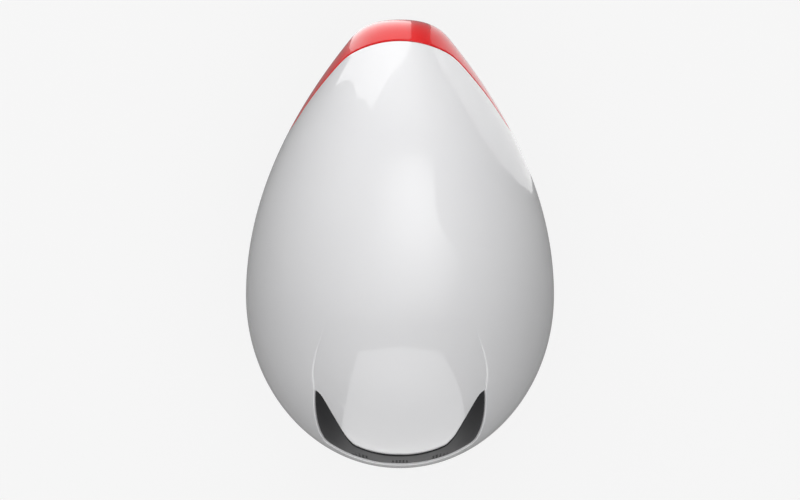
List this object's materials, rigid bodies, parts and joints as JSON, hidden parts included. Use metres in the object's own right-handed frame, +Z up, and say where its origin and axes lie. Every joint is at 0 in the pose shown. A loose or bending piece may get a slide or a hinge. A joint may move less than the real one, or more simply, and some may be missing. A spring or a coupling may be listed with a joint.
{
  "type": "time trial cycling helmet",
  "caption": "Long egg-shaped time trial bicycle helmet with a glossy shell, brow air slot, coloured tail fairing, lift-off shield, dial-adjusted fit ring and buckled chin strap.",
  "frame": {"origin": "centre of the wearer's head, at the level just above the brows and ears where a head is measured", "axes": "+Z up, the helmet faces -Y, its tail points to +Y, +X is the wearer's left"},
  "size_m": [0.215, 0.313, 0.271],
  "materials": {
    "shell_white": "gloss painted polycarbonate shell",
    "fairing_red": "gloss painted polycarbonate tail",
    "trim_black": "fine satin moulded nylon",
    "tray_grey": "satin moulded nylon",
    "foam_grey": "expanded polystyrene bead foam",
    "magnet_nickel": "nickel plated",
    "pad_fabric": "brushed knit over soft foam",
    "lens_smoke": "smoked clear polycarbonate",
    "ring_nylon": "moulded nylon",
    "screw_steel": "zinc plated",
    "gear_acetal": "natural acetal",
    "knob_grey": "soft-touch rubber over nylon",
    "web_black": "woven polyester webbing",
    "buckle_black": "moulded acetal"
  },
  "bodies": {
    "helmet": {"outer_shell": "shell_white", "tail_fairing": "fairing_red", "exhaust_grille": "trim_black", "intake_tray": "tray_grey", "intake_nets": "trim_black", "edge_trim": "trim_black", "eps_liner": "foam_grey", "brow_magnets": "magnet_nickel", "brow_pad": "pad_fabric", "rear_pad": "pad_fabric", "side_pad_left": "pad_fabric", "side_pad_right": "pad_fabric", "crown_pad_left": "pad_fabric", "crown_pad_right": "pad_fabric", "temple_pivots": "ring_nylon", "chin_strap_left": "web_black", "chin_strap_right": "web_black", "front_strap_left": "web_black", "front_strap_right": "web_black", "rear_strap_left": "web_black", "rear_strap_right": "web_black", "strap_divider_left": "buckle_black", "strap_divider_right": "buckle_black", "strap_anchors_left": "buckle_black", "strap_anchors_right": "buckle_black", "strap_keeper": "buckle_black", "chin_pad": "pad_fabric", "buckle_socket": "buckle_black"},
    "shield": {"shield_lens": "lens_smoke", "shield_frame": "trim_black", "shield_magnets": "magnet_nickel"},
    "fit_ring": {"ring_arms": "ring_nylon", "dial_box": "ring_nylon", "box_cover": "ring_nylon", "cradle_pad": "pad_fabric", "cover_screws": "screw_steel"},
    "dial": {"dial_pinion": "gear_acetal", "dial_knob": "knob_grey"},
    "wing_left": {"wing_left": "ring_nylon", "wing_pad_left": "pad_fabric"},
    "wing_right": {"wing_right": "ring_nylon", "wing_pad_right": "pad_fabric"},
    "buckle_tongue": {"buckle_tongue": "buckle_black"}
  },
  "joints": [
    {"name": "shield_lift", "type": "slide", "parent": "helmet", "child": "shield", "axis": [0, -1, 0], "range_m": [0, 0.07]},
    {"name": "ring_tilt", "type": "hinge", "parent": "helmet", "child": "fit_ring", "pos_m": [0, -0.022, 0], "axis": [1, 0, 0], "range_deg": [-4, 4]},
    {"name": "dial_turn", "type": "hinge", "parent": "fit_ring", "child": "dial", "pos_m": [0, -0.022, 0], "axis": [0, 0.9285, -0.3714], "range_deg": [0, 90]},
    {"name": "wing_left_slide", "type": "slide", "parent": "fit_ring", "child": "wing_left", "axis": [-1, 0, 0], "range_m": [0, 0.008]},
    {"name": "wing_right_slide", "type": "slide", "parent": "fit_ring", "child": "wing_right", "axis": [1, 0, 0], "range_m": [0, 0.008]},
    {"name": "buckle_release", "type": "slide", "parent": "helmet", "child": "buckle_tongue", "axis": [0, 0.7779, -0.6283], "range_m": [0, 0.018]}
  ],
  "couplings": [
    {"joint": "wing_left_slide", "follows": "dial_turn", "m_per_rad": 0.005},
    {"joint": "wing_right_slide", "follows": "dial_turn", "m_per_rad": 0.005}
  ]
}
